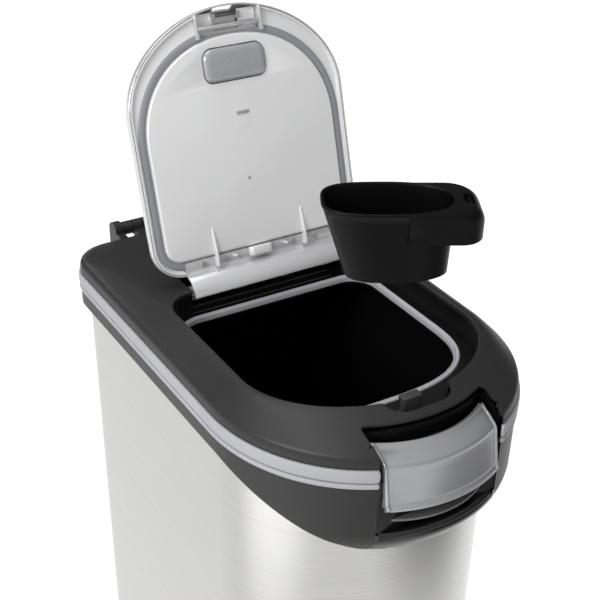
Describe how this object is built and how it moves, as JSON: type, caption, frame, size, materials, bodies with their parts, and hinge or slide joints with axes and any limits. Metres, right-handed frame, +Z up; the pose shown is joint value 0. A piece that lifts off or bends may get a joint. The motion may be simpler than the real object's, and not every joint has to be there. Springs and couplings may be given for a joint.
{
  "type": "food storage can",
  "caption": "Slim D-shaped steel storage can with a hinged black cover, front lock-down clamp, flip lid with latch, inner bucket, rear wheels and a scoop.",
  "frame": {"origin": "on the floor, under the centre of the bounding box", "axes": "+Z up, -Y to the front clamp, +X to the right seen from the front"},
  "size_m": [0.28, 0.5063, 0.8295],
  "materials": {
    "steel_shell": "fine brushed stainless, vertical bands of light",
    "black_panel": "fine grain black moulding",
    "black_plastic": "satin black moulding",
    "cover_plastic": "satin charcoal, fine spark-eroded grain",
    "frame_plastic": "satin black",
    "bucket_plastic": "satin black",
    "scoop_plastic": "satin black",
    "wheel_plastic": "moulded grey-black",
    "grey_seal": "matt grey elastomer",
    "rubber_pad": "matt black",
    "silver_plastic": "silver metallic paint",
    "liner_plastic": "light silver-grey semi-gloss moulding",
    "steel_pin": "bright plated steel"
  },
  "bodies": {
    "root": {"body_shell": "steel_shell", "back_panel": "black_panel", "base_tray": "black_plastic", "collar": "black_plastic", "collar_seal": "grey_seal", "inner_bucket": "bucket_plastic", "rear_handle": "black_plastic", "handle_grip": "black_plastic", "cover_hinge_pin": "steel_pin", "handle_screws": "steel_pin", "base_screws": "steel_pin", "collar_screws": "steel_pin", "wheel_axle": "steel_pin", "axle_caps": "steel_pin", "foot_pads": "rubber_pad", "clamp_keeper": "steel_pin", "keeper_screws": "steel_pin"},
    "wheel_left": {"wheel_hub_left": "wheel_plastic", "wheel_tyre_left": "rubber_pad"},
    "wheel_right": {"wheel_hub_right": "wheel_plastic", "wheel_tyre_right": "rubber_pad"},
    "cover": {"cover_dome": "cover_plastic", "cover_frame": "frame_plastic", "cover_seal": "grey_seal", "lid_seal": "grey_seal", "lid_catch": "frame_plastic", "clamp_seat": "frame_plastic", "cover_hinge_arms": "black_plastic", "lid_bearings": "frame_plastic", "lid_hinge_pin": "steel_pin", "clamp_pin": "steel_pin", "frame_screws": "steel_pin", "catch_screws": "steel_pin"},
    "lid": {"lid_shell": "silver_plastic", "lid_liner": "liner_plastic", "lid_hinge": "silver_plastic", "lid_screws": "steel_pin", "latch_rail": "steel_pin", "latch_springs": "steel_pin"},
    "latch": {"latch_slider": "steel_pin"},
    "clamp": {"clamp_handle": "silver_plastic", "clamp_frame": "frame_plastic", "clamp_hook": "steel_pin", "clamp_screws": "steel_pin", "clamp_spring": "steel_pin"},
    "scoop": {"scoop": "scoop_plastic"}
  },
  "joints": [
    {"name": "cover_hinge", "type": "hinge", "parent": "root", "child": "cover", "pos_m": [0, 0.24419, 0.582], "axis": [-1, 0, 0], "range_deg": [0, 80]},
    {"name": "lid_hinge", "type": "hinge", "parent": "cover", "child": "lid", "pos_m": [0, 0.07469, 0.5896], "axis": [1, 0, 0], "range_deg": [0, 106.9]},
    {"name": "latch_slide", "type": "slide", "parent": "lid", "child": "latch", "axis": [0, -0.2907, -0.9568], "range_m": [0, 0.005], "stiffness_N_per_m": 300, "springref_m": -0.004},
    {"name": "clamp_hinge", "type": "hinge", "parent": "cover", "child": "clamp", "pos_m": [0, -0.19831, 0.5735], "axis": [-1, 0, 0], "range_deg": [0, 45]},
    {"name": "wheel_left_spin", "type": "hinge", "parent": "root", "child": "wheel_left", "pos_m": [-0.092, 0.18819, 0.02], "axis": [1, 0, 0], "continuous": true},
    {"name": "wheel_right_spin", "type": "hinge", "parent": "root", "child": "wheel_right", "pos_m": [0.092, 0.18819, 0.02], "axis": [1, 0, 0], "continuous": true},
    {"name": "scoop_lift", "type": "slide", "parent": "cover", "child": "scoop", "axis": [0.1315, 0.5998, -0.7892], "range_m": [0, 0.38]}
  ]
}
